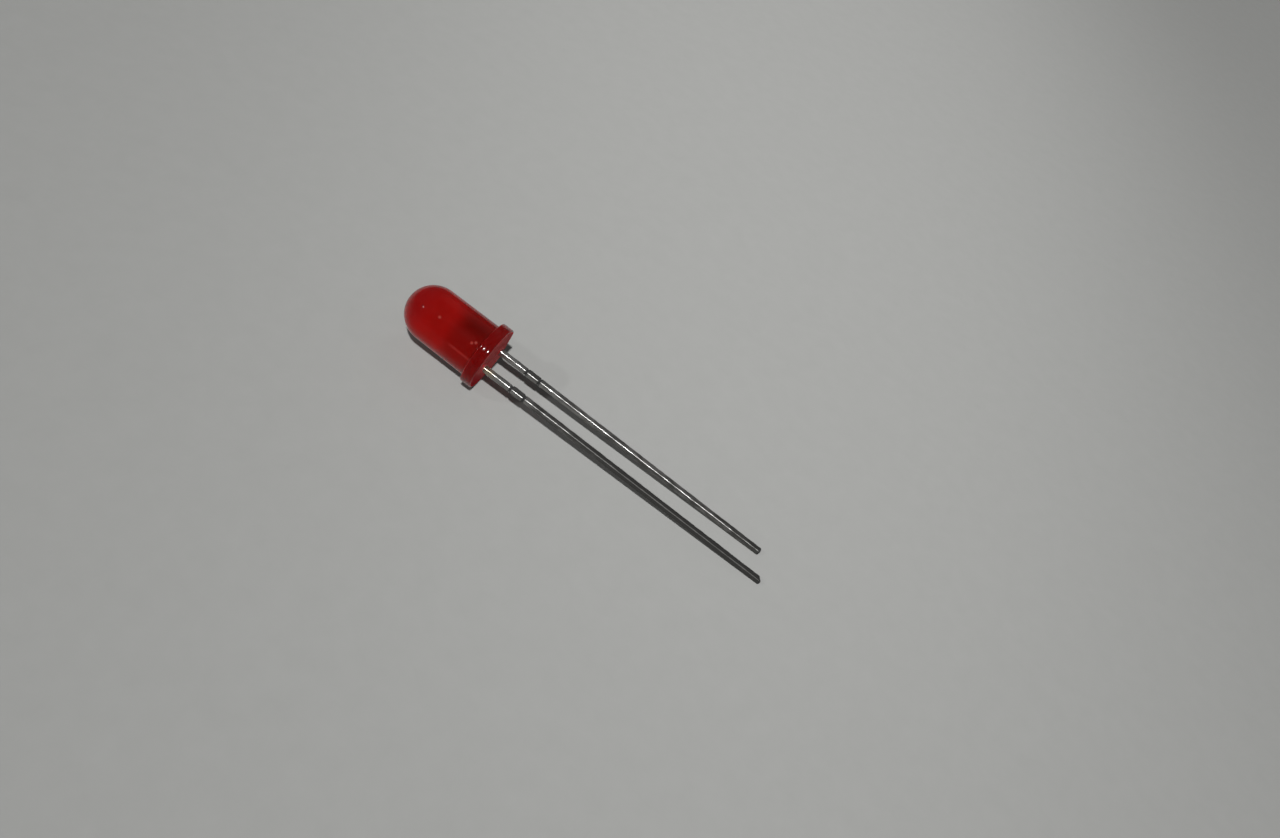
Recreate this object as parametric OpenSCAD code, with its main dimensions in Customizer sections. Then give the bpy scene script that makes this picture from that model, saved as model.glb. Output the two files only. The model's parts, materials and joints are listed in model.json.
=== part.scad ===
// A loose through hole LED: a red epoxy lens cast round a stamped lead frame, with its chip and bond wire inside.
// It is modelled upright, dome up, with the flange underside at z = 0, the anode at -Y and the cathode at +Y.
// At the end it is laid down as it comes to rest: on the rim of its flange and the tips of both leads.

/* [Lens] */
// Diameter of the barrel where it meets the flange
barrel_d = 5.0; // [4.7:0.05:5.3]
// Height from the flange underside to the top of the dome
lens_h = 8.45; // [7.9:0.05:9.4]
// Draft of the barrel in degrees on each side, so that the lens leaves its mould
draft = 0.7; // [0.3:0.1:1.2]
// Diameter of the flange
flange_d = 5.9; // [5.8:0.05:6.4]
// Thickness of the flange
flange_t = 1.0; // [0.8:0.05:1.3]
// Depth of the flat on the cathode side, measured in from the rim of the flange
flat_depth = 0.42; // [0.2:0.02:0.44]
// Radius of the rounded edges of the flange
edge_r = 0.12; // [0.06:0.02:0.16]
// Radius of the fillet between flange and barrel
fillet_r = 0.14; // [0.06:0.02:0.16]
// Diameter of the shallow hollow that the setting epoxy leaves in the underside
dish_d = 4.2; // [4.0:0.05:4.5]
// Depth of that hollow
dish_depth = 0.08; // [0.04:0.01:0.12]
// Height of the collar of epoxy that wets each lead
collar_h = 0.16; // [0.1:0.02:0.3]
// How far the foot of a collar spreads past the corners of its lead
collar_spread = 0.16; // [0.1:0.02:0.24]

/* [Leads] */
// Width and thickness of the square leads
lead_s = 0.5; // [0.4:0.02:0.6]
// Distance between the middles of the two leads
lead_pitch = 2.54; // [2.4:0.02:2.7]
// Length of the anode lead below the flange
anode_l = 28.6; // [27.6:0.2:34]
// Length of the cathode lead below the flange
cathode_l = 27.4; // [18:0.2:28.4]
// Bevel that the shear leaves at a lead's tip
tip_bevel = 0.08; // [0.04:0.01:0.14]
// Distance from the flange to the stubs of the tie bar
stub_z = 2.9; // [1.5:0.1:5]
// Length of a stub along its lead
stub_l = 1.2; // [0.8:0.1:1.6]
// How far a stub stands out on each side of its lead
stub_out = 0.12; // [0.06:0.02:0.2]

/* [Anvil and post] */
// Height above the flange underside where the anvil starts to widen
anvil_z = 1.5; // [1.3:0.05:1.7]
// Slope in degrees of the anvil's edge towards the anode
anvil_slope = 40; // [34:1:44]
// Width of the anvil under its cup
neck_w = 1.2; // [1.1:0.05:1.3]
// How far the anvil's outer edge stops below the cup's head
anvil_drop = 0.6; // [0.4:0.05:0.8]
// Height of the top of the anode's post
post_top = 4.1; // [3.9:0.05:4.3]
// Width of the post's flag
post_w = 0.75; // [0.65:0.05:0.9]
// Width of the flat on top of the post that takes the wire
post_land = 0.5; // [0.4:0.05:0.6]
// Height at which the post reaches its full width
post_neck_z = 2.4; // [2.2:0.1:2.8]
// Drop of the sloping corner of the post
post_drop = 0.6; // [0.4:0.05:0.8]

/* [Reflector cup] */
// Height of the cup's rim above the flange underside
cup_top = 4.4; // [4.2:0.05:4.7]
// Outer diameter of the cup's round head
head_d = 1.56; // [1.4:0.02:1.64]
// Height of the round head
head_h = 0.9; // [0.8:0.05:1.1]
// Height of the cone under the round head
head_cone = 0.25; // [0.1:0.05:0.35]
// Diameter of the cup's mouth
mouth_d = 1.1; // [1.0:0.02:1.2]
// Diameter of the cup's floor
floor_d = 0.64; // [0.6:0.02:0.72]
// Depth of the cup
cup_depth = 0.42; // [0.36:0.02:0.5]

/* [Chip and wire] */
// Width of the square chip
chip_w = 0.28; // [0.22:0.02:0.32]
// Height of the chip
chip_h = 0.2; // [0.15:0.01:0.24]
// Diameter of the adhesive pad under the chip
pad_d = 0.5; // [0.48:0.01:0.54]
// Thickness of the adhesive pad
pad_t = 0.03; // [0.02:0.005:0.05]
// Diameter of the bond wire
wire_d = 0.03; // [0.025:0.005:0.04]
// Height of the wire's loop above the line between its two bonds
loop_h = 0.5; // [0.4:0.05:0.7]
// Diameter of the bonds at the ends of the wire
bond_d = 0.1; // [0.08:0.01:0.12]
// Height of the bonds
bond_h = 0.05; // [0.04:0.005:0.06]

/* [Hidden] */
$fn = 96;

// Lens: the dome is the sphere that the drafted barrel runs into without a step
flange_r = flange_d / 2;
dome_r = (barrel_d / 2 - (lens_h - flange_t) * tan(draft)) / (cos(draft) - tan(draft) + sin(draft) * tan(draft));
dome_z = lens_h - dome_r;
tangent_z = dome_z + dome_r * sin(draft);
flat_y = flange_r - flat_depth;
dish_r = (pow(dish_d / 2, 2) + pow(dish_depth, 2)) / (2 * dish_depth);

// Leads
lead_a = lead_s / 2;
lead_y = lead_pitch / 2;
lead_in = lead_y - lead_a;
lead_out = lead_y + lead_a;
collar_tip_r = lead_a * sqrt(2) + collar_spread / 5;
collar_foot_r = lead_a * sqrt(2) + collar_spread;

// Cup, chip and wire heights
head_z = cup_top - head_h;
cup_floor_z = cup_top - cup_depth;
pad_top = cup_floor_z + pad_t;
chip_top = pad_top + chip_h;

// Wire: one arc in the plane of the leads, from the middle of the chip's bond to the middle of the post's bond
chip_bond = [0, chip_top + bond_h / 2];
post_bond = [-lead_in - post_land / 2, post_top + bond_h / 2];
wire_span = norm(chip_bond - post_bond);
wire_slope = atan2(chip_bond.y - post_bond.y, chip_bond.x - post_bond.x);
wire_half = 2 * atan(2 * loop_h / wire_span);
wire_r = wire_span / 2 / sin(wire_half);
wire_up = [-sin(wire_slope), cos(wire_slope)];
wire_mid = (chip_bond + post_bond) / 2 - wire_up * wire_r * cos(wire_half);

// Rest: the tilt of the lens's axis and the roll about it, found by a few passes between the two
function tip_reach(roll) = lead_a * cos(roll) + (lead_a - tip_bevel) * sin(roll);
function rest_tilt(tilt, roll) =
    atan((flange_r - edge_r - tip_reach(roll) + edge_r / cos(tilt)) / ((anode_l + cathode_l) / 2 + edge_r));
function rest_roll(tilt) = asin((anode_l - cathode_l) * tan(tilt) / lead_pitch);
function settle(passes, tilt, roll) =
    passes == 0 ? [tilt, roll] : settle(passes - 1, rest_tilt(tilt, roll), rest_roll(rest_tilt(tilt, roll)));
rest = settle(6, 0, 0);
rest_tilt_deg = rest[0];
rest_roll_deg = rest[1];

// Box of the part as it lies, which puts the origin in the middle of the box's underside
lie_x_min = -dome_z * cos(rest_tilt_deg) - dome_r;
lie_x_max = anode_l * cos(rest_tilt_deg)
    + (lead_y * sin(rest_roll_deg) + tip_reach(rest_roll_deg)) * sin(rest_tilt_deg);
lie_y_min = -flange_r;
lie_y_max = flange_r * cos(acos(flat_y / flange_r) - rest_roll_deg);
lie_z = (flange_r - edge_r) * cos(rest_tilt_deg) - edge_r * sin(rest_tilt_deg) + edge_r;

function barrel_r(z) = dome_r * cos(draft) + (tangent_z - z) * tan(draft);

// Lays an upright piece down: dome towards -X, lead tips towards +X, anode at -Y and a little raised
module laid_down() {
    translate([-(lie_x_min + lie_x_max) / 2, -(lie_y_min + lie_y_max) / 2, lie_z])
        rotate([0, rest_tilt_deg - 90, 0])
            rotate([0, 0, rest_roll_deg])
                children();
}

// Stands a drawing of the lead plane up: its x becomes +Y and its y becomes +Z
module in_lead_plane() {
    rotate([90, 0, 90]) children();
}

// Half section of the lens: drafted barrel, dome, flange with rounded edges and the fillet above it
module lens_section() {
    foot_r = barrel_r(flange_t);
    polygon([[0, 0], [barrel_r(0), 0], [barrel_r(tangent_z), tangent_z], [0, tangent_z]]);
    intersection() {
        translate([0, dome_z]) circle(dome_r);
        translate([0, tangent_z]) square([dome_r, lens_h]);
    }
    square([flange_r - edge_r, flange_t]);
    translate([0, edge_r]) square([flange_r, flange_t - 2 * edge_r]);
    for (z = [edge_r, flange_t - edge_r])
        translate([flange_r - edge_r, z]) circle(edge_r);
    difference() {
        translate([0, flange_t - edge_r]) square([foot_r + fillet_r, edge_r + fillet_r]);
        translate([foot_r + fillet_r, flange_t + fillet_r]) circle(fillet_r);
    }
}

// The wetted foot of epoxy round one lead, from inside the hollow of the underside to its tip
module collar() {
    translate([0, 0, -collar_h])
        cylinder(h = collar_h + dish_depth, r1 = collar_tip_r, r2 = collar_foot_r);
}

module lens_outside() {
    difference() {
        rotate_extrude() lens_section();
        translate([0, 0, dish_depth - dish_r]) sphere(dish_r, $fn = 360);
        translate([-flange_d, flat_y, -flange_t]) cube([2 * flange_d, flange_d, 2 * flange_t + fillet_r]);
    }
    for (side = [-1, 1])
        translate([0, side * lead_y, 0]) collar();
}

// Outline of one straight lead with its tie bar stubs and bevelled tip, about its own middle line
module lead_outline(length, top) {
    polygon([
        [-lead_a, top],
        [-lead_a, tip_bevel - length],
        [tip_bevel - lead_a, -length],
        [lead_a - tip_bevel, -length],
        [lead_a, tip_bevel - length],
        [lead_a, top]
    ]);
    translate([-lead_a - stub_out, -stub_z - stub_l]) square([lead_s + 2 * stub_out, stub_l]);
}

// Outline of the anvil: it leans from the cathode lead over to the middle, where it carries the cup
module anvil_outline() {
    plate_top = (head_z + cup_floor_z) / 2;
    polygon([
        [lead_in, anvil_z],
        [-neck_w / 2, anvil_z + (lead_in + neck_w / 2) * tan(anvil_slope)],
        [-neck_w / 2, plate_top],
        [neck_w / 2, plate_top],
        [lead_out, head_z - anvil_drop],
        [lead_out, anvil_z]
    ]);
}

// Outline of the post: a flag that widens away from the anvil, with a land on top for the wire
module post_outline() {
    flag_out = -lead_in - post_w;
    polygon([
        [-lead_in, post_neck_z - post_w],
        [-lead_in, post_top],
        [-lead_in - post_land, post_top],
        [flag_out, post_top - post_drop],
        [flag_out, post_neck_z],
        [-lead_out, post_neck_z - post_w + lead_s]
    ]);
}

// The round head on the anvil, with the reflector cup pressed into it
module cup_head() {
    rotate_extrude()
        polygon([
            [0, head_z],
            [neck_w / 2, head_z],
            [head_d / 2, head_z + head_cone],
            [head_d / 2, cup_top],
            [mouth_d / 2, cup_top],
            [floor_d / 2, cup_floor_z],
            [0, cup_floor_z]
        ]);
}

module cathode_form() {
    in_lead_plane()
        linear_extrude(lead_s, center = true) {
            translate([lead_y, 0]) lead_outline(cathode_l, anvil_z);
            anvil_outline();
        }
    cup_head();
}

module anode_form() {
    in_lead_plane()
        linear_extrude(lead_s, center = true) {
            translate([-lead_y, 0]) lead_outline(anode_l, post_neck_z);
            post_outline();
        }
}

module pad_form() {
    translate([0, 0, cup_floor_z]) cylinder(h = pad_t, d = pad_d);
}

module chip_form() {
    translate([-chip_w / 2, -chip_w / 2, pad_top]) cube([chip_w, chip_w, chip_h]);
}

module wire_form() {
    in_lead_plane()
        translate(wire_mid)
            rotate([0, 0, wire_slope + 90 - wire_half])
                rotate_extrude(angle = 2 * wire_half)
                    translate([wire_r, 0]) circle(d = wire_d, $fn = 24);
    for (bond = [chip_bond, post_bond])
        translate([0, bond.x, bond.y - bond_h / 2]) cylinder(h = bond_h, d = bond_d);
}

module epoxy_lens() {
    color([0.62, 0.04, 0.05])
        laid_down()
            difference() {
                lens_outside();
                cathode_form();
                anode_form();
                pad_form();
                chip_form();
                wire_form();
            }
}

module cathode_lead() {
    color([0.66, 0.66, 0.66]) laid_down() cathode_form();
}

module anode_lead() {
    color([0.70, 0.70, 0.69]) laid_down() anode_form();
}

module die_attach() {
    color([0.78, 0.77, 0.72]) laid_down() pad_form();
}

module led_chip() {
    color([0.36, 0.30, 0.28]) laid_down() chip_form();
}

module bond_wire() {
    color([0.86, 0.68, 0.30]) laid_down() wire_form();
}

epoxy_lens();
cathode_lead();
anode_lead();
die_attach();
led_chip();
bond_wire();
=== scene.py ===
"""Looks of a loose red 5 mm through hole LED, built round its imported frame."""
import json
import math

import bpy
from mathutils import Matrix, Vector, noise


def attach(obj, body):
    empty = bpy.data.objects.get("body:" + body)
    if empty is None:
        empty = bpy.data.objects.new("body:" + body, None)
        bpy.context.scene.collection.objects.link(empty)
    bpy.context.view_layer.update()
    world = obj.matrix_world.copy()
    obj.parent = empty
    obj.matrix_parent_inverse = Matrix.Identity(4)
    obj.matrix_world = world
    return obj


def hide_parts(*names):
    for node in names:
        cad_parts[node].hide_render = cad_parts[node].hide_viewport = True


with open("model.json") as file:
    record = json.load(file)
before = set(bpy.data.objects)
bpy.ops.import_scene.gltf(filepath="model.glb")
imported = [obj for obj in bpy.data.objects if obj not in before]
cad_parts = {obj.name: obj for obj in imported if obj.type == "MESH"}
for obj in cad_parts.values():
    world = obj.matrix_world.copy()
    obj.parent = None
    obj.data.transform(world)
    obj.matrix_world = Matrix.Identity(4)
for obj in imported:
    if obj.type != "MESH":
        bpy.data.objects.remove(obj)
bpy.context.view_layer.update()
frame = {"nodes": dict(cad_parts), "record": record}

MM = 0.001

# The LED's own frame, found from the record's mounts: origin in the middle of the flange underside,
# +Z towards the dome, +Y towards the cathode and the flat of the flange, +X up from the broad side of
# the lead frame.
mounts = {mount["name"]: mount for mount in frame["record"]["mounts"]}
lens_foot = Vector(mounts["lead_pair"]["pos_m"])
towards_dome = -Vector(mounts["lead_pair"]["axis"]).normalized()
towards_cathode = (lens_foot - Vector(mounts["flange_underside"]["pos_m"])).normalized()
towards_top = towards_cathode.cross(towards_dome)
LED_TO_ROW = Matrix((towards_top, towards_cathode, towards_dome)).transposed().to_4x4()
LED_TO_ROW.translation = lens_foot

# Sizes in millimetres, the same as in the part's source
BARREL_R = 2.5
LENS_H = 8.45
DRAFT = math.radians(0.7)
FLANGE_R = 2.95
FLANGE_T = 1.0
FLAT_Y = 2.53
EDGE_R = 0.12
FILLET_R = 0.14
DISH_R = 2.1
DISH_DEPTH = 0.08
COLLAR_H = 0.16
LEAD_A = 0.25
LEAD_Y = 1.27
ANODE_L = 28.6
CATHODE_L = 27.4
STUB_Z = 2.9
STUB_L = 1.2
ANVIL_Z = 1.5
ANVIL_SLOPE = math.radians(40)
NECK_HALF = 0.6
ANVIL_SHOULDER_Z = 2.9
PLATE_TOP = 3.74
POST_TOP = 4.1
POST_OUT = 1.77
POST_FLARE = (2.15, 2.4)
POST_SLOPE_Z = 3.5
HEAD_Z = 3.5
HEAD_CONE_Z = 3.75
HEAD_R = 0.78
CUP_TOP = 4.4
MOUTH_R = 0.55
CUP_FLOOR_R = 0.32
CUP_FLOOR_Z = 3.98


def lerp(a, b, t):
    return a + (b - a) * t


def ramp(x, low, high):
    """0 below low, 1 above high, smooth in between."""
    t = min(1.0, max(0.0, (x - low) / (high - low)))
    return t * t * (3 - 2 * t)


def smooth_min(a, b, soft):
    t = min(1.0, max(0.0, 0.5 + 0.5 * (b - a) / soft))
    return lerp(b, a, t) - soft * t * (1 - t)


def rough_at(x, y, z, scale):
    """Smooth noise from about -1 to 1, the same at each run."""
    return noise.noise(Vector((x, y, z)) * scale)


def add_object(name, data):
    thing = bpy.data.objects.new(name, data)
    bpy.context.scene.collection.objects.link(thing)
    return thing


def mesh_object(name, points, faces):
    """A smooth object in the LED's frame, from points in millimetres."""
    mesh = bpy.data.meshes.new(name)
    mesh.from_pydata([Vector(point) for point in points], [], faces)
    mesh.validate()
    mesh.update()
    for polygon in mesh.polygons:
        polygon.use_smooth = True
    return add_object(name, mesh)


def finish_piece(thing, materials, node):
    """Lay a piece where its node lies, in metres, give it its materials, and hide the node that it stands in
    for.
    """
    thing.data.transform(LED_TO_ROW @ Matrix.Scale(MM, 4))
    for material in materials:
        thing.data.materials.append(material)
    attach(thing, "root")
    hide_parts(node)


def full_circle(segments):
    return [2 * math.pi * i / segments for i in range(segments)]


def skin(rings, cap_start, cap_end):
    """Quads between closed rings of equal length, with a fan to a middle point at each end."""
    count = len(rings[0])
    points = [point for ring in rings for point in ring]
    faces = []
    for row in range(len(rings) - 1):
        for i in range(count):
            j = (i + 1) % count
            faces.append((row * count + i, row * count + j, (row + 1) * count + j, (row + 1) * count + i))
    last = (len(rings) - 1) * count
    points.append(cap_start)
    faces.extend((len(points) - 1, (i + 1) % count, i) for i in range(count))
    points.append(cap_end)
    faces.extend((len(points) - 1, last + i, last + (i + 1) % count) for i in range(count))
    return points, faces


# Lens: one closed shell of rows that run from the pole of the dome to the middle of the underside

LENS_SEGMENTS = 240
DOME_ROWS = 30
BARREL_ROWS = 18
SHOULDER_ROWS = 16
ROUND_ROWS = 6
RIM_ROWS = 24
RING_ROWS = 8
DISH_ROWS = 54
# Rim: the crown of its bands, the softened ends of the flat, and the cosine of a turn well past the flat
RIM_CROWN_R = 1.2
FLAT_SOFT = 0.08
PAST_FLAT_COS = 0.5
# Most that the upper rounded edge takes of the shoulder, which is narrow at the flat
ROUND_SHARE = 0.4
# Poured face: how far the epoxy spreads beside the leads that it climbs, and how uneven it stays inside
# an even edge
COLLAR_REACH = 0.1
COLLAR_SQUARENESS = 4
UNEVEN = 0.012
UNEVEN_SCALE = 2.3
UNEVEN_EDGE = 0.5

dome_r = (BARREL_R - (LENS_H - FLANGE_T) * math.tan(DRAFT)) / (
    math.cos(DRAFT) - math.tan(DRAFT) + math.sin(DRAFT) * math.tan(DRAFT)
)
dome_z = LENS_H - dome_r
tangent_z = dome_z + dome_r * math.sin(DRAFT)


def barrel_r(z):
    return dome_r * math.cos(DRAFT) + (tangent_z - z) * math.tan(DRAFT)


def rim_reach(turn):
    """Radius of the flange at an angle from the cathode side, with the flat blended in."""
    if math.cos(turn) < PAST_FLAT_COS:
        return FLANGE_R
    return smooth_min(FLANGE_R, FLAT_Y / math.cos(turn), FLAT_SOFT)


def shoulder_curve(length, foot):
    """Point of the fillet and the shoulder, by the length along them."""
    quarter = FILLET_R * math.pi / 2
    if length < quarter:
        bend = length / FILLET_R
        return foot + FILLET_R * (1 - math.cos(bend)), FLANGE_T + FILLET_R * (1 - math.sin(bend))
    return foot + FILLET_R + length - quarter, FLANGE_T


def crown_sag(z, high):
    """The rim is two slightly crowned bands, one above and one below the mould's parting line."""
    half = (high - EDGE_R) / 4
    middle = EDGE_R + half if z < EDGE_R + 2 * half else EDGE_R + 3 * half
    return (z - middle) ** 2 / (2 * RIM_CROWN_R)


def lens_profile(turn):
    """Half section of the lens at one angle, from the dome down to the hollow of the underside."""
    rows = []
    for i in range(1, DOME_ROWS + 1):
        rise = lerp(math.pi / 2, DRAFT, i / DOME_ROWS)
        rows.append((dome_r * math.cos(rise), dome_z + dome_r * math.sin(rise)))
    foot_z = FLANGE_T + FILLET_R
    for i in range(1, BARREL_ROWS):
        z = lerp(tangent_z, foot_z, i / BARREL_ROWS)
        rows.append((barrel_r(z), z))
    foot = barrel_r(foot_z)
    rim = rim_reach(turn)
    round_r = min(EDGE_R, ROUND_SHARE * (rim - foot))
    ledge = rim - round_r
    if ledge < foot + FILLET_R:
        shoulder = FILLET_R * math.acos((foot + FILLET_R - ledge) / FILLET_R)
    else:
        shoulder = FILLET_R * math.pi / 2 + ledge - foot - FILLET_R
    for i in range(SHOULDER_ROWS):
        rows.append(shoulder_curve(shoulder * i / SHOULDER_ROWS, foot))
    top = shoulder_curve(shoulder, foot)[1]
    for i in range(ROUND_ROWS):
        bend = math.pi / 2 * i / ROUND_ROWS
        rows.append((ledge + round_r * math.sin(bend), top - round_r * (1 - math.cos(bend))))
    high = top - round_r
    for i in range(RIM_ROWS):
        z = lerp(high, EDGE_R, i / RIM_ROWS)
        rows.append((rim - crown_sag(z, high), z))
    for i in range(ROUND_ROWS):
        bend = math.pi / 2 * i / ROUND_ROWS
        rows.append((rim - EDGE_R * (1 - math.cos(bend)), EDGE_R * (1 - math.sin(bend))))
    for i in range(RING_ROWS):
        rows.append((lerp(rim - EDGE_R, DISH_R, i / RING_ROWS), 0.0))
    for i in range(DISH_ROWS):
        r = DISH_R * (1 - i / DISH_ROWS)
        rows.append((r, DISH_DEPTH * (1 - (r / DISH_R) ** 2)))
    return rows


def lead_distance(x, y):
    """Distance from the side of the nearer lead, 0 inside it."""
    across = abs(abs(y) - LEAD_Y)
    rounded = (x ** COLLAR_SQUARENESS + across ** COLLAR_SQUARENESS) ** (1 / COLLAR_SQUARENESS)
    return max(0.0, rounded - LEAD_A)


def underside_z(x, y, z):
    """The setting epoxy climbs each lead and stays a little uneven between them."""
    climb = COLLAR_H * math.exp(-lead_distance(x, y) / COLLAR_REACH)
    inside = ramp(DISH_R - math.hypot(x, y), 0.0, UNEVEN_EDGE)
    return z - climb + UNEVEN * inside * rough_at(x, y, 0.0, UNEVEN_SCALE)


def make_lens():
    """The lens, with its second material on the poured face."""
    turns = full_circle(LENS_SEGMENTS)
    columns = [lens_profile(turn) for turn in turns]
    dish_start = len(columns[0]) - DISH_ROWS
    rings = []
    for row in range(len(columns[0])):
        ring = []
        for turn, column in zip(turns, columns):
            r, z = column[row]
            x, y = r * math.sin(turn), r * math.cos(turn)
            if row >= dish_start:
                z = underside_z(x, y, z)
            ring.append((x, y, z))
        rings.append(ring)
    middle = (0.0, 0.0, underside_z(0.0, 0.0, DISH_DEPTH))
    points, faces = skin(rings, (0.0, 0.0, LENS_H), middle)
    thing = mesh_object("cast_lens", points, faces)
    poured_from = (dish_start - RING_ROWS) * LENS_SEGMENTS
    for polygon in thing.data.polygons:
        poured = min(polygon.vertices) >= poured_from and polygon.center.z < LENS_H / 2
        polygon.material_index = 1 if poured else 0
    return thing


# Leads: a rounded square section swept along each lead, with the outline of the stamped frame

# Corners: die roll on the +X ones, uneven along the lead and larger from the stubs up, burrs on the -X ones.
# No radius is more than a share of the half width.
DIE_ROLL = 0.09
ROLL_UNEVEN = 0.6
ROLL_SCALE = 2.1
ROLL_ABOVE_STUBS = 0.45
BURR_R = 0.05
CORNER_SHARE = 0.8
CORNER_STEPS = 6
SIDE_STEPS = 4
# Distance between sections, with the margins of the fine stretches at the stubs and inside the lens
FINE_STEP = 0.02
COARSE_STEP = 0.1
STUB_MARGIN = 0.2
ANVIL_MARGIN = 0.1
TINY = 1e-6
# What the shears and wear left of the stubs on the -Y and the +Y side of each lead
CATHODE_STUBS = (0.05, 0.035)
ANODE_STUBS = (0.05, 0.06)
STUB_BLEND = 0.07
# Shear marks across each lead, at both ends of its stubs
NICK_DEPTH = 0.035
NICK_HALF = 0.1
NICKS = (-STUB_Z + STUB_BLEND, -STUB_Z - STUB_L - STUB_BLEND)
# Tips: a bevel all round, and a slanted cut that draws one corner back
TIP_BEVEL = 0.1
TIP_ROUNDNESS = 1.6
TIP_THINNING = 0.5
TIP_REACH = 0.9
CATHODE_SLANT = 0.03
ANODE_SLANT = 0.32
CUT_FROM = -0.5
CUT_TO = 2.1

lead_inner = LEAD_Y - LEAD_A
lead_outer = LEAD_Y + LEAD_A


def bar_section(low, high, half, shrink, roll):
    """Closed outline in x and y: die roll on the two +X corners, sharper burr edges on the two -X ones."""
    room = min(half, (high - low) / 2)
    top_r = min(roll, CORNER_SHARE * room)
    low_r = min(BURR_R, CORNER_SHARE * room)
    half -= shrink
    corners = (
        (half, high, 1, 1, top_r),
        (-half, high, -1, 1, low_r),
        (-half, low, -1, -1, low_r),
        (half, low, 1, -1, top_r),
    )
    outline = []
    for quarter, (x, y, x_sign, y_sign, r) in enumerate(corners):
        for step in range(CORNER_STEPS + 1):
            turn = math.pi / 2 * (quarter + step / CORNER_STEPS)
            outline.append((x - x_sign * r + r * math.cos(turn), y - y_sign * r + r * math.sin(turn)))
    filled = []
    for i, point in enumerate(outline):
        after = outline[(i + 1) % len(outline)]
        filled.append(point)
        if (i + 1) % (CORNER_STEPS + 1) == 0:
            for step in range(1, SIDE_STEPS):
                t = step / SIDE_STEPS
                filled.append((lerp(point[0], after[0], t), lerp(point[1], after[1], t)))
    return filled


def stub_bulge(z, left):
    """How far a stub stands out at a height, by what the shears and wear left of it."""
    bottom = -STUB_Z - STUB_L
    below = ramp(z, bottom - STUB_BLEND, bottom + STUB_BLEND)
    above = ramp(-z, STUB_Z - STUB_BLEND, STUB_Z + STUB_BLEND)
    return left * below * above


def nick(z):
    """Depth of the shear marks pressed across a lead at both ends of its stubs."""
    return NICK_DEPTH * (1 - ramp(min(abs(z - middle) for middle in NICKS), 0.0, NICK_HALF))


def cathode_span(z):
    """Lowest and highest y of the cathode at a height: the lead, then the anvil."""
    if z < ANVIL_Z:
        return lead_inner - stub_bulge(z, CATHODE_STUBS[0]), lead_outer + stub_bulge(z, CATHODE_STUBS[1])
    low = max(-NECK_HALF, lead_inner - (z - ANVIL_Z) / math.tan(ANVIL_SLOPE))
    t = min(1.0, max(0.0, (z - ANVIL_SHOULDER_Z) / (PLATE_TOP - ANVIL_SHOULDER_Z)))
    return low, lerp(lead_outer, NECK_HALF, t)


def anode_span(z):
    """Lowest and highest y of the anode at a height: the lead, then the post."""
    if z < POST_FLARE[0]:
        return -lead_outer - stub_bulge(z, ANODE_STUBS[0]), -lead_inner + stub_bulge(z, ANODE_STUBS[1])
    if z < POST_SLOPE_Z:
        t = min(1.0, (z - POST_FLARE[0]) / (POST_FLARE[1] - POST_FLARE[0]))
        return -lerp(lead_outer, POST_OUT, t), -lead_inner
    t = (z - POST_SLOPE_Z) / (POST_TOP - POST_SLOPE_Z)
    return -lerp(POST_OUT, lead_outer, t), -lead_inner


def lead_heights(length, top):
    """Heights of the sections: fine at the tip, the stubs and inside the lens, coarser in between."""
    fine = (
        (-length, -length + TIP_REACH),
        (-STUB_Z - STUB_L - STUB_MARGIN, -STUB_Z + STUB_MARGIN),
        (ANVIL_Z - ANVIL_MARGIN, top),
    )
    heights = []
    z = -length
    while z < top - TINY:
        heights.append(z)
        near = any(low - TINY <= z < high - TINY for low, high in fine)
        step = FINE_STEP if near else COARSE_STEP
        ahead = [low for low, high in fine if z + TINY < low < z + step]
        z = min(ahead) if ahead else z + step
    heights.append(top)
    return heights


def cut_tip(x, across, above, slant):
    """How far a point near the tip is drawn back: most at the +X and +Y corner, where the cutter went in."""
    near = 1 - min(1.0, above / TIP_REACH)
    return slant * near ** 2 * ramp((x + across) / LEAD_A, CUT_FROM, CUT_TO)


def middle_of(ring):
    return tuple(sum(axis) / len(ring) for axis in zip(*ring))


def make_lead(name, length, top, span, slant):
    rings = []
    for z in lead_heights(length, top):
        low, high = span(z)
        middle = (low + high) / 2
        tip = 1 - min(1.0, (z + length) / TIP_BEVEL)
        crown = 1 - min(1.0, (top - z) / TIP_BEVEL)
        cut = TIP_BEVEL * tip ** TIP_ROUNDNESS
        trim = TIP_THINNING * TIP_BEVEL * max(tip, crown) ** 2
        pressed_nick_and_stub_shade = nick(z)
        uneven = ROLL_UNEVEN * rough_at(middle, 0.0, z, ROLL_SCALE)
        from_stubs_up = ramp(z, NICKS[1] - NICK_HALF, NICKS[1] + NICK_HALF)
        roll = DIE_ROLL * (1 + uneven + ROLL_ABOVE_STUBS * from_stubs_up)
        outline = bar_section(low + cut + pressed_nick_and_stub_shade, high - cut - pressed_nick_and_stub_shade, LEAD_A, trim + pressed_nick_and_stub_shade, roll)
        rings.append([(x, y, z + cut_tip(x, y - middle, z + length, slant)) for x, y in outline])
    points, faces = skin(rings, middle_of(rings[0]), middle_of(rings[-1]))
    return mesh_object(name, points, faces)


HEAD_SEGMENTS = 72
HEAD_SOFT = 0.03


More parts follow.
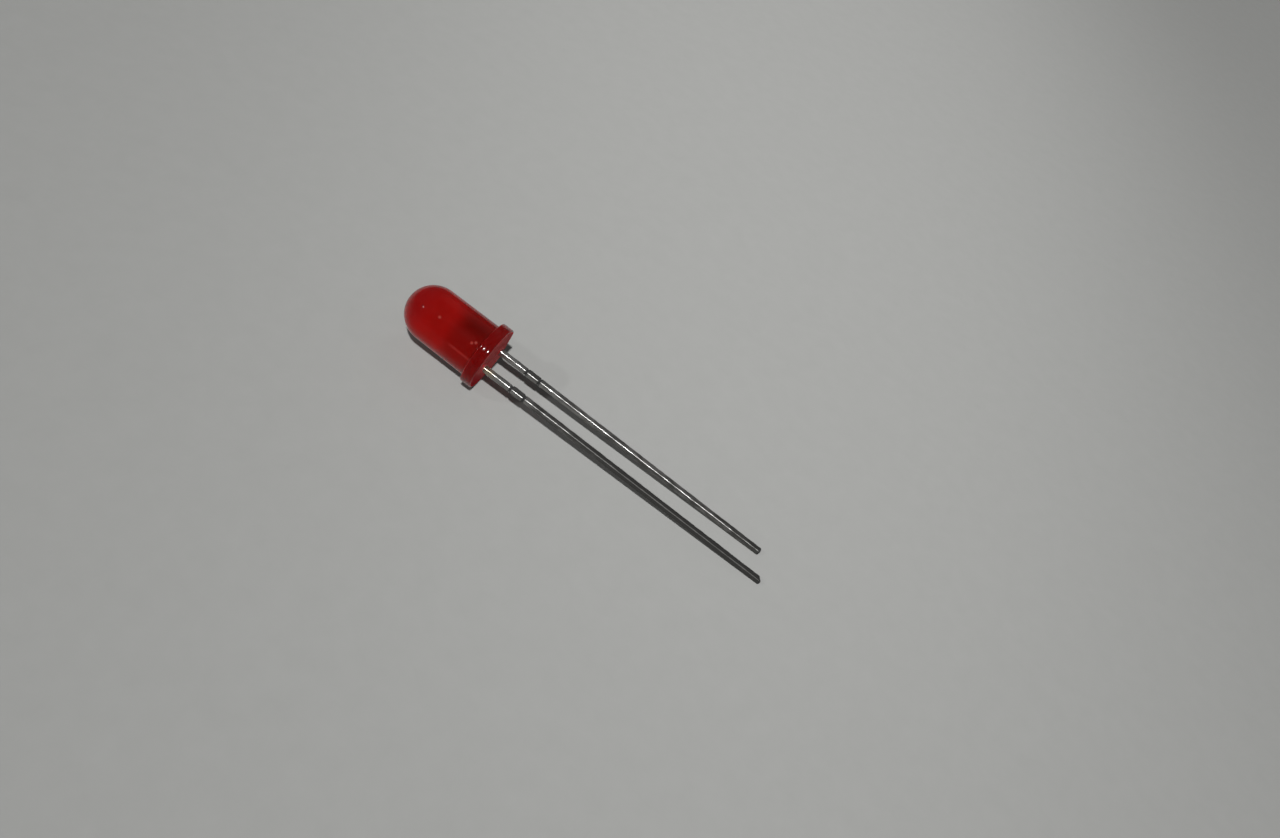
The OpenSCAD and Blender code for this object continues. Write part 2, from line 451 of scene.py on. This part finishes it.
def make_cup_head():
    """The round head with the reflector cup pressed into it, as a closed lathe."""
    soft = HEAD_SOFT
    outline = (
        (NECK_HALF - soft, HEAD_Z),
        (NECK_HALF, HEAD_Z + soft / 2),
        (HEAD_R - soft / 2, HEAD_CONE_Z - soft / 2),
        (HEAD_R, HEAD_CONE_Z + soft),
        (HEAD_R, CUP_TOP - soft),
        (HEAD_R - soft, CUP_TOP),
        (MOUTH_R + soft, CUP_TOP),
        (MOUTH_R, CUP_TOP - soft / 2),
        (CUP_FLOOR_R + soft / 3, CUP_FLOOR_Z + soft / 2),
        (CUP_FLOOR_R - soft, CUP_FLOOR_Z),
    )
    turns = full_circle(HEAD_SEGMENTS)
    rings = [[(r * math.cos(turn), r * math.sin(turn), z) for turn in turns] for r, z in outline]
    points, faces = skin(rings, (0.0, 0.0, HEAD_Z), (0.0, 0.0, CUP_FLOOR_Z))
    return mesh_object("cup_head", points, faces)


def join(thing, other):
    """Make the union of two closed meshes and drop the second object."""
    union = thing.modifiers.new("union", "BOOLEAN")
    union.operation = "UNION"
    union.solver = "EXACT"
    union.object = other
    bpy.context.view_layer.update()
    joined = bpy.data.meshes.new_from_object(thing.evaluated_get(bpy.context.evaluated_depsgraph_get()))
    thing.modifiers.clear()
    thing.data = joined
    bpy.data.objects.remove(other)


# Nodes of the materials


def new_material(name):
    material = bpy.data.materials.new(name)
    material.use_nodes = True
    tree = material.node_tree
    return material, tree, tree.nodes["Principled BSDF"]


def fill_inputs(node, **values):
    for key, value in values.items():
        node.inputs[key.replace("_", " ")].default_value = value


def add_node(tree, kind, **values):
    node = tree.nodes.new(kind)
    fill_inputs(node, **values)
    return node


def millimetres(tree):
    """Coordinates in the LED's own frame, in millimetres."""
    place = tree.nodes.new("ShaderNodeTexCoord")
    led = tree.nodes.new("ShaderNodeMapping")
    led.vector_type = "TEXTURE"
    fill_inputs(led, Location=LED_TO_ROW.translation, Rotation=LED_TO_ROW.to_euler(), Scale=(MM, MM, MM))
    tree.links.new(place.outputs["Object"], led.inputs["Vector"])
    return led.outputs["Vector"]


def stretched(tree, vector, scale):
    node = add_node(tree, "ShaderNodeMapping", Scale=scale)
    tree.links.new(vector, node.inputs["Vector"])
    return node.outputs["Vector"]


def noise_value(tree, vector, scale, detail, roughness=0.55):
    node = add_node(tree, "ShaderNodeTexNoise", Scale=scale, Detail=detail, Roughness=roughness)
    tree.links.new(vector, node.inputs["Vector"])
    return node.outputs["Fac"]


def remap(tree, value, low, high, to_low, to_high, smooth=False):
    """A value from low to high becomes one from to_low to to_high, and stays there beyond."""
    node = add_node(tree, "ShaderNodeMapRange", From_Min=low, From_Max=high, To_Min=to_low, To_Max=to_high)
    if smooth:
        node.interpolation_type = "SMOOTHSTEP"
    tree.links.new(value, node.inputs["Value"])
    return node.outputs["Result"]


def mix_colour(tree, factor, first, second):
    """From the first colour to the second; each is a tuple or a socket."""
    node = tree.nodes.new("ShaderNodeMix")
    node.data_type = "RGBA"
    tree.links.new(factor, node.inputs["Factor"])
    for key, value in (("A", first), ("B", second)):
        socket = next(s for s in node.inputs if s.name == key and s.type == "RGBA")
        if isinstance(value, tuple):
            socket.default_value = value + (1.0,)
        else:
            tree.links.new(value, socket)
    return next(s for s in node.outputs if s.type == "RGBA")


def math_node(tree, operation, first, second):
    node = tree.nodes.new("ShaderNodeMath")
    node.operation = operation
    tree.links.new(first, node.inputs[0])
    tree.links.new(second, node.inputs[1])
    return node


def product(tree, first, second):
    return math_node(tree, "MULTIPLY", first, second).outputs["Value"]


def total(tree, first, second):
    """The sum of two values, held between 0 and 1."""
    node = math_node(tree, "ADD", first, second)
    node.use_clamp = True
    return node.outputs["Value"]


def bump(tree, height, strength, distance):
    node = add_node(tree, "ShaderNodeBump", Strength=strength, Distance=distance)
    tree.links.new(height, node.inputs["Height"])
    return node.outputs["Normal"]


def split(tree, vector):
    node = tree.nodes.new("ShaderNodeSeparateXYZ")
    tree.links.new(vector, node.inputs["Vector"])
    return node.outputs["X"], node.outputs["Y"], node.outputs["Z"]


def distance_from(tree, value, middle):
    """How far a coordinate lies from a middle value, on either side."""
    difference = tree.nodes.new("ShaderNodeMath")
    difference.operation = "SUBTRACT"
    difference.inputs[1].default_value = middle
    tree.links.new(value, difference.inputs[0])
    size = tree.nodes.new("ShaderNodeMath")
    size.operation = "ABSOLUTE"
    tree.links.new(difference.outputs["Value"], size.inputs[0])
    return size.outputs["Value"]


def vector_node(tree, operation, vector, other):
    node = tree.nodes.new("ShaderNodeVectorMath")
    node.operation = operation
    node.inputs[1].default_value = other
    tree.links.new(vector, node.inputs[0])
    return node.outputs["Value"]


def along(tree, vector, direction):
    return vector_node(tree, "DOT_PRODUCT", vector, direction)


def near_point(tree, vector, point, reach):
    """1 at a point, falling to 0 at its reach."""
    return remap(tree, vector_node(tree, "DISTANCE", vector, point), 0.0, reach, 1.0, 0.0, True)


def scaled(tree, colour, factor):
    node = tree.nodes.new("ShaderNodeVectorMath")
    node.operation = "SCALE"
    tree.links.new(colour, node.inputs["Vector"])
    tree.links.new(factor, node.inputs["Scale"])
    return node.outputs["Vector"]


# Materials: heights and distances in millimetres in the LED's frame

# Epoxy: colours of the cloudy barrel, of the dome, and where the lead frame shows through, with a painted
# reflection of the post's edge and painted glints
CLOUD_RED = (0.225, 0.004, 0.003)
CLEAR_RED = (0.26, 0.005, 0.004)
DOME_RED = (0.2, 0.005, 0.005)
FRAME_RED = (0.17, 0.004, 0.003)
ANVIL_RED = (0.095, 0.003, 0.002)
FLANGE_RED = (0.13, 0.004, 0.004)
POST_REFLECTION_RED = (0.25, 0.018, 0.015)
PAINTED_GLINT_RED = (0.36, 0.07, 0.058)
EPOXY_IOR = 1.54
# Across the body, away from the side that the key lamp leans to
LEE_SIDE = (-0.67, -0.74, 0.0)
# How many times brighter the painted glow makes the side away from the key lamp, at most
PAINTED_GLOW_GAIN = 2.0
POST_LINE_X = 0.86
ANVIL_MIDDLE_Y = -0.5
# Painted glints: highlights of the lead frame in the depth of the epoxy, painted into the colour as pale
# spots
PAINTED_GLINTS = ((1.86, -1.61, 1.72), (1.99, -1.45, 1.46), (1.9, -1.56, 5.02))
PAINTED_GLINT_REACH = 0.19

POURED_RED = (0.5, 0.062, 0.064)
POURED_PALE = (0.63, 0.115, 0.115)
POURED_PAINTED_SHADE = (0.32, 0.012, 0.017)

TIN_BRIGHT = (0.36, 0.355, 0.345)
TIN_TARNISHED = (0.12, 0.118, 0.113)
# Darker tin: on the far part of the anode, and as painted shade on the stubs' +X faces
TIN_DARK_AND_SHADE = (0.085, 0.083, 0.08)
TIN_WARM = (0.42, 0.36, 0.26)
TIN_CUT = (0.09, 0.09, 0.09)


def epoxy_material():
    """Deep red and cloudy: brightest in the clear upper barrel, darker where the lead frame stands inside,
    with a painted glow on the side away from the key lamp, a painted reflection of the post's edge and
    painted glints.
    """
    material, tree, shader = new_material("red_epoxy_look")
    place = millimetres(tree)
    x, y, z = split(tree, place)
    cloud = remap(tree, noise_value(tree, place, 0.55, 2.0), 0.35, 0.65, 0.0, 1.0)
    colour = mix_colour(tree, cloud, CLOUD_RED, CLEAR_RED)
    dome = remap(tree, z, 5.4, 7.2, 0.0, 1.0, True)
    colour = mix_colour(tree, dome, colour, DOME_RED)
    frame_height = remap(tree, z, 2.9, 4.4, 1.0, 0.0, True)
    colour = mix_colour(tree, frame_height, colour, FRAME_RED)
    anvil_rise = remap(tree, z, 0.3, 1.6, 0.0, 1.0, True)
    anvil_fall = remap(tree, z, 2.5, 4.0, 1.0, 0.0, True)
    anvil_side = remap(tree, distance_from(tree, y, ANVIL_MIDDLE_Y), 0.0, 1.4, 0.9, 0.0, True)
    anvil = product(tree, product(tree, anvil_rise, anvil_fall), anvil_side)
    colour = mix_colour(tree, anvil, colour, ANVIL_RED)
    flange = remap(tree, z, 0.9, 1.2, 0.8, 0.0, True)
    colour = mix_colour(tree, flange, colour, FLANGE_RED)
    # Painted reflection: a lighter line where the edge of the anode post shows through the epoxy, painted
    # into the colour
    post_edge = remap(tree, distance_from(tree, x, POST_LINE_X), 0.03, 0.16, 0.75, 0.0, True)
    post_rise = remap(tree, z, 1.0, 1.2, 0.0, 1.0)
    post_fall = remap(tree, z, 2.9, 3.4, 1.0, 0.0, True)
    anode_side = remap(tree, y, -0.4, 0.0, 1.0, 0.0)
    post_painted_reflection = product(tree, anode_side, product(tree, post_edge, product(tree, post_rise, post_fall)))
    colour = mix_colour(tree, post_painted_reflection, colour, POST_REFLECTION_RED)
    # Painted light: the lower barrel on the side away from the key lamp is painted brighter, standing in for
    # light that scatters through the body
    painted_glow_side = remap(tree, along(tree, place, LEE_SIDE), 0.3, 2.2, 0.0, 0.32, True)
    painted_glow = product(tree, painted_glow_side, remap(tree, z, 0.8, 1.3, 0.0, 1.0))
    colour = scaled(tree, colour, remap(tree, painted_glow, 0.0, 1.0, 1.0, PAINTED_GLOW_GAIN))
    # Painted highlights: small pale spots painted into the colour where the lead frame glints inside
    for painted_glint in PAINTED_GLINTS:
        colour = mix_colour(tree, near_point(tree, place, painted_glint, PAINTED_GLINT_REACH), colour, PAINTED_GLINT_RED)
    tree.links.new(colour, shader.inputs["Base Color"])
    fill_inputs(shader, Roughness=0.6, Specular_IOR_Level=0.0, IOR=EPOXY_IOR)
    fill_inputs(shader, Subsurface_Weight=1.0, Subsurface_Radius=(1.0, 0.12, 0.1), Subsurface_Scale=3.2 * MM)
    fill_inputs(shader, Coat_Roughness=0.1, Coat_IOR=EPOXY_IOR)
    facing = tree.nodes.new("ShaderNodeLayerWeight")
    gloss = remap(tree, facing.outputs["Facing"], 0.3, 0.7, 0.15, 0.9)
    tree.links.new(gloss, shader.inputs["Coat Weight"])
    ripple = noise_value(tree, place, 1.1, 2.0)
    tree.links.new(bump(tree, ripple, 0.04, 0.05 * MM), shader.inputs["Coat Normal"])
    return material


def underside_material():
    """The open face that the epoxy was poured through: duller and mottled, with painted shade making it
    deeper red beyond the anode, away from the key lamp.
    """
    material, tree, shader = new_material("red_epoxy_underside_look")
    place = millimetres(tree)
    mottle = noise_value(tree, place, 3.0, 4.0)
    patches = remap(tree, mottle, 0.35, 0.68, 0.0, 1.0, True)
    colour = mix_colour(tree, patches, POURED_RED, POURED_PALE)
    # Painted shade: deeper red on the part of the poured face that lies away from the key lamp
    painted_shade_beyond_anode = remap(tree, along(tree, place, LEE_SIDE), 1.3, 2.1, 0.0, 0.85, True)
    colour = mix_colour(tree, painted_shade_beyond_anode, colour, POURED_PAINTED_SHADE)
    tree.links.new(colour, shader.inputs["Base Color"])
    tree.links.new(remap(tree, mottle, 0.3, 0.7, 0.45, 0.65), shader.inputs["Roughness"])
    fill_inputs(shader, Specular_IOR_Level=0.0)
    fill_inputs(shader, Subsurface_Weight=1.0, Subsurface_Radius=(1.0, 0.2, 0.2), Subsurface_Scale=1.2 * MM)
    tree.links.new(bump(tree, mottle, 0.35, 0.06 * MM), shader.inputs["Normal"])
    return material


def tip_end(tree, z, length):
    """1 on the cut end of a lead of this length, and on all that lies beyond."""
    return remap(tree, z, 0.25 - length, 0.1 - length, 0.0, 1.0, True)


def tin_material():
    """Drawn tin plating: warm at the anode's root, duller towards the tips and darker on the far anode, with
    painted shade on the stubs, dark at the shear marks and the cut ends.
    """
    material, tree, shader = new_material("tinned_steel_look")
    place = millimetres(tree)
    x, y, z = split(tree, place)
    drawn = noise_value(tree, stretched(tree, place, (9.0, 9.0, 0.25)), 1.0, 4.0)
    mottle = noise_value(tree, stretched(tree, place, (2.0, 2.0, 0.9)), 1.0, 4.0)
    anode_side = remap(tree, y, -0.2, 0.2, 1.0, 0.0)
    cathode_side = remap(tree, y, -0.2, 0.2, 0.0, 1.0)
    between_nicks = remap(tree, distance_from(tree, z, sum(NICKS) / 2), 0.6, 0.7, 1.0, 0.0)

    patches = remap(tree, mottle, 0.38, 0.66, 0.0, 0.6, True)
    # Darker and duller along the leads towards the tips
    duller_towards_tips = remap(tree, z, -4.0, -26.0, 0.0, 0.55)
    dulled = product(tree, anode_side, remap(tree, z, -4.1, -5.5, 0.0, 0.6))
    # Painted shade: the stubs between the nicks are darkened a little all round
    stub_painted_shade = remap(tree, between_nicks, 0.0, 1.0, 0.0, 0.15)
    near_tips = remap(tree, z, -23.5, -27.0, 0.0, 0.4)
    tarnish_and_stub_shade = total(tree, patches, total(tree, duller_towards_tips, dulled))
    tarnish_and_stub_shade = total(tree, total(tree, tarnish_and_stub_shade, stub_painted_shade), near_tips)
    colour = mix_colour(tree, tarnish_and_stub_shade, TIN_BRIGHT, TIN_TARNISHED)

    # Darker and rougher on the far part of the anode
    darker_far_anode = product(tree, anode_side, remap(tree, z, -8.0, -15.0, 0.0, 0.75, True))
    # Painted shade: the flat +X faces of the stubs are darkened towards the darker tin
    pressed_nick_and_stub_shade = product(tree, between_nicks, remap(tree, x, 0.23, 0.244, 0.0, 0.6))
    colour = mix_colour(tree, total(tree, darker_far_anode, pressed_nick_and_stub_shade), colour, TIN_DARK_AND_SHADE)
    warm = product(tree, anode_side, remap(tree, z, -1.6, -0.2, 0.0, 0.9, True))
    colour = mix_colour(tree, warm, colour, TIN_WARM)

    marks = [remap(tree, distance_from(tree, z, middle), 0.05, 0.18, 1.0, 0.0, True) for middle in NICKS]
    cathode_end = product(tree, cathode_side, tip_end(tree, z, CATHODE_L))
    bare_end = total(tree, cathode_end, tip_end(tree, z, ANODE_L))
    cut_mark = total(tree, total(tree, marks[0], marks[1]), bare_end)
    tree.links.new(mix_colour(tree, cut_mark, colour, TIN_CUT), shader.inputs["Base Color"])

    rough_tarnish = remap(tree, tarnish_and_stub_shade, 0.0, 1.0, 0.24, 0.45)
    rough_cut = remap(tree, cut_mark, 0.0, 1.0, 0.0, 0.5)
    rough_far_anode = remap(tree, darker_far_anode, 0.0, 1.0, 0.0, 0.2)
    rough = total(tree, total(tree, rough_tarnish, rough_cut), rough_far_anode)
    tree.links.new(rough, shader.inputs["Roughness"])
    fill_inputs(shader, Metallic=1.0)
    tree.links.new(bump(tree, drawn, 0.2, 0.02 * MM), shader.inputs["Normal"])
    return material


def grain_material(name, dark, light, scale, metallic, rough, height):
    """A fine two-tone grain, for the small pieces inside the lens."""
    material, tree, shader = new_material(name)
    grain = noise_value(tree, millimetres(tree), scale, 4.0)
    tree.links.new(mix_colour(tree, grain, dark, light), shader.inputs["Base Color"])
    tree.links.new(remap(tree, grain, 0.3, 0.7, rough[0], rough[1]), shader.inputs["Roughness"])
    tree.links.new(bump(tree, grain, 0.3, height * MM), shader.inputs["Normal"])
    fill_inputs(shader, Metallic=metallic)
    return material


# Pieces

lens = make_lens()
finish_piece(lens, [epoxy_material(), underside_material()], "epoxy_lens")

tin = tin_material()
cathode = make_lead("cathode_leg", CATHODE_L, PLATE_TOP, cathode_span, CATHODE_SLANT)
join(cathode, make_cup_head())
finish_piece(cathode, [tin], "cathode_lead")
anode = make_lead("anode_leg", ANODE_L, POST_TOP, anode_span, ANODE_SLANT)
finish_piece(anode, [tin], "anode_lead")

small_looks = {
    "die_attach": grain_material(
        "adhesive_look", dark=(0.62, 0.61, 0.57), light=(0.78, 0.77, 0.73),
        scale=60.0, metallic=0.3, rough=(0.5, 0.7), height=0.004,
    ),
    "led_chip": grain_material(
        "chip_look", dark=(0.20, 0.14, 0.12), light=(0.32, 0.26, 0.24),
        scale=40.0, metallic=0.0, rough=(0.25, 0.4), height=0.002,
    ),
    "bond_wire": grain_material(
        "gold_look", dark=(0.78, 0.55, 0.18), light=(0.9, 0.7, 0.32),
        scale=50.0, metallic=1.0, rough=(0.18, 0.3), height=0.001,
    ),
}
for node_name, look in small_looks.items():
    kept = frame["nodes"][node_name]
    kept.data.materials.clear()
    kept.data.materials.append(look)


# Camera: it stands where the photograph's did, in the LED's frame in millimetres.
# The middle of the flange underside and a point of the axis near the tips fall on their pixels of 1280 x 838.

PHOTO_W, PHOTO_H = 1280, 838
FOCAL_PX = 1000
SENSOR_MM = 36
CLIP_NEAR = 0.005
CLIP_FAR = 20
CAMERA_AT = Vector((61.448, -55.296, -11.875))
FLANGE_PX = (492.0, 359.3)
AXIS_POINT = Vector((0.0, 0.0, -28.0))
AXIS_PX = (760.1, 566.7)


def pixel_ray(pixel):
    """Direction from the camera to a pixel, in the camera's own axes."""
    across = (pixel[0] - PHOTO_W / 2) / FOCAL_PX
    upward = (PHOTO_H / 2 - pixel[1]) / FOCAL_PX
    return Vector((across, upward, -1)).normalized()


def basis(first, second):
    """Right-angled axes from two directions, the first one kept."""
    third = first.cross(second).normalized()
    return Matrix((first, third, first.cross(third))).transposed()


camera_place = LED_TO_ROW @ (CAMERA_AT * MM)
to_flange = (LED_TO_ROW.translation - camera_place).normalized()
to_axis_point = (LED_TO_ROW @ (AXIS_POINT * MM) - camera_place).normalized()
turned = basis(to_flange, to_axis_point) @ basis(pixel_ray(FLANGE_PX), pixel_ray(AXIS_PX)).transposed()

camera_data = bpy.data.cameras.new("camera")
camera_data.sensor_width = SENSOR_MM
camera_data.lens = SENSOR_MM * FOCAL_PX / PHOTO_W
camera_data.clip_start = CLIP_NEAR
camera_data.clip_end = CLIP_FAR
camera = add_object("camera", camera_data)
camera.matrix_world = Matrix.Translation(camera_place) @ turned.to_4x4()
bpy.context.scene.camera = camera


# Floor, lamps and world, in metres, watts and degrees

FLOOR_HALF = 1.5
FLOOR_GREY = (0.37, 0.372, 0.36)
FLOOR_PALE = (0.40, 0.402, 0.39)

KEY_LEAN = 13.5
KEY_SIDE = (0.62, 0.785)
KEY_FAR = 1.5
KEY_RADIUS = 0.034
KEY_WATTS = 60.0

POOL_RIGHT = 0.003
POOL_SHIFT = Vector((-0.023, 0.09, 0.0))
POOL_WATTS = 36.0
POOL_WIDE = 5.8
POOL_TURN = 14.7
POOL_TALL = 2.24

FILL_LEAN = 40
FILL_SIDE = (-0.785, 0.62)
FILL_FAR = 0.6
FILL_RADIUS = 0.014
FILL_WATTS = 1.4

PANEL_LEAN = 84
PANEL_FAR = 0.6
PANEL_SIZE = 0.4
PANEL_WATTS = 0.126

WORLD_GREY = 0.06


def make_floor():
    """Pale grey paper with a faint fibre."""
    signs = ((-1, -1), (1, -1), (1, 1), (-1, 1))
    corners = [(x_sign * FLOOR_HALF, y_sign * FLOOR_HALF, 0.0) for x_sign, y_sign in signs]
    mesh = bpy.data.meshes.new("floor")
    mesh.from_pydata(corners, [], [(0, 1, 2, 3)])
    floor = add_object("floor", mesh)
    material, tree, shader = new_material("floor_look")
    fibre = noise_value(tree, millimetres(tree), 0.6, 5.0, 0.6)
    tree.links.new(mix_colour(tree, fibre, FLOOR_GREY, FLOOR_PALE), shader.inputs["Base Color"])
    fill_inputs(shader, Roughness=0.9, Specular_IOR_Level=0.1)
    mesh.materials.append(material)


make_floor()

right = turned @ Vector((1, 0, 0))
up = turned @ Vector((0, 1, 0))
back = turned @ Vector((0, 0, 1))
aim = camera_place - back * (camera_place.z / back.z)


def add_lamp(name, kind, off_view, image_direction, distance, power, target):
    """A lamp off the line of view by some degrees, towards a direction in the image, that faces a target."""
    sideways = (right * image_direction[0] + up * image_direction[1]).normalized()
    lean = math.radians(off_view)
    data = bpy.data.lights.new(name, kind)
    data.energy = power
    lamp = add_object(name, data)
    lamp.location = aim + (back * math.cos(lean) + sideways * math.sin(lean)) * distance
    lamp.rotation_euler = (lamp.location - target).to_track_quat("Z", "Y").to_euler()
    lamp.visible_camera = False
    return lamp


def make_oval(lamp, turn, tall):
    """Stretch a spot's pool of light along a line that leans by some degrees from upright in the image."""
    beam = lamp.rotation_euler.to_matrix().col[2]
    lean = math.radians(turn)
    upright = up * math.cos(lean) + right * math.sin(lean)
    across = upright.cross(beam).normalized()
    lamp.rotation_euler = Matrix((across, beam.cross(across), beam)).transposed().to_euler()
    lamp.scale = (1.0, tall, 1.0)


key = add_lamp("key", "POINT", KEY_LEAN, KEY_SIDE, KEY_FAR, KEY_WATTS, aim)
key.data.shadow_soft_size = KEY_RADIUS

pool_aim = aim + right * POOL_RIGHT + POOL_SHIFT
pool = add_lamp("pool", "SPOT", KEY_LEAN, KEY_SIDE, KEY_FAR, POOL_WATTS, pool_aim)
pool.data.shadow_soft_size = KEY_RADIUS
pool.data.spot_size = math.radians(POOL_WIDE)
pool.data.spot_blend = 1.0
make_oval(pool, POOL_TURN, POOL_TALL)

fill = add_lamp("fill", "POINT", FILL_LEAN, FILL_SIDE, FILL_FAR, FILL_WATTS, aim)
fill.data.shadow_soft_size = FILL_RADIUS

panel = add_lamp("panel", "AREA", PANEL_LEAN, KEY_SIDE, PANEL_FAR, PANEL_WATTS, aim)
panel.data.size = PANEL_SIZE

world = bpy.data.worlds.new("world")
world.use_nodes = True
fill_inputs(world.node_tree.nodes["Background"], Color=(WORLD_GREY, WORLD_GREY, WORLD_GREY, 1), Strength=1.0)
bpy.context.scene.world = world
bpy.context.scene.view_settings.view_transform = "Standard"

bpy.context.view_layer.update()
